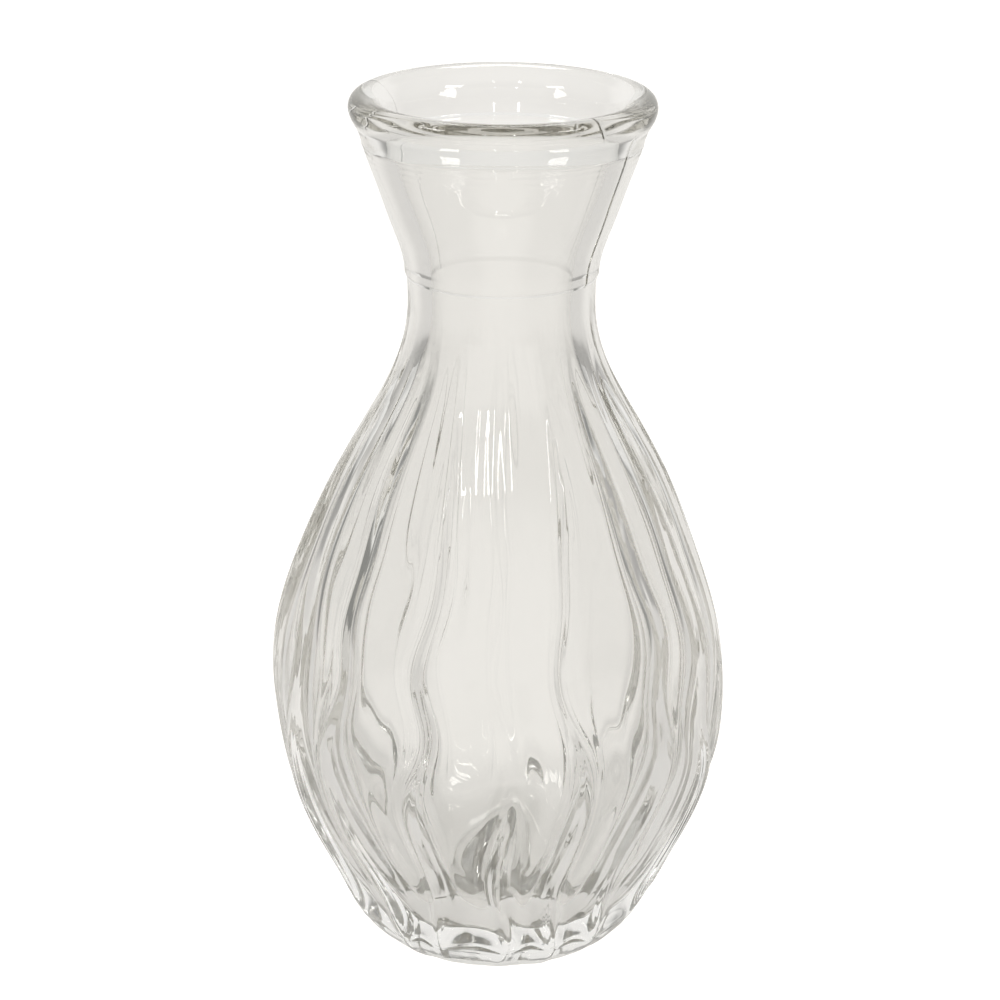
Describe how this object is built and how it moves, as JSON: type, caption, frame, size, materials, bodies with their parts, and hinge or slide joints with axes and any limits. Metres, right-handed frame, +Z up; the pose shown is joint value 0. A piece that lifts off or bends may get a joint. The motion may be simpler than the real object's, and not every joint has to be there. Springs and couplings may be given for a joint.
{
  "type": "bud vase",
  "caption": "Small clear glass bud vase with a flared collar, rounded thick lip, narrow throat and a pear-shaped body with wavy vertical ridges.",
  "frame": {"origin": "centre of the foot, on the surface the vase stands on", "axes": "+Z up along the vase's axis, out of the mouth; -Y is the front"},
  "size_m": [0.0653, 0.0639, 0.125],
  "materials": {
    "clear_glass": "fire-polished clear soda-lime glass"
  },
  "bodies": {
    "root": {"rim_bead": "clear_glass", "flared_collar": "clear_glass", "neck_band": "clear_glass", "fluted_shoulder": "clear_glass", "fluted_belly": "clear_glass", "fluted_heel": "clear_glass", "base_floor": "clear_glass", "foot": "clear_glass"}
  },
  "joints": []
}
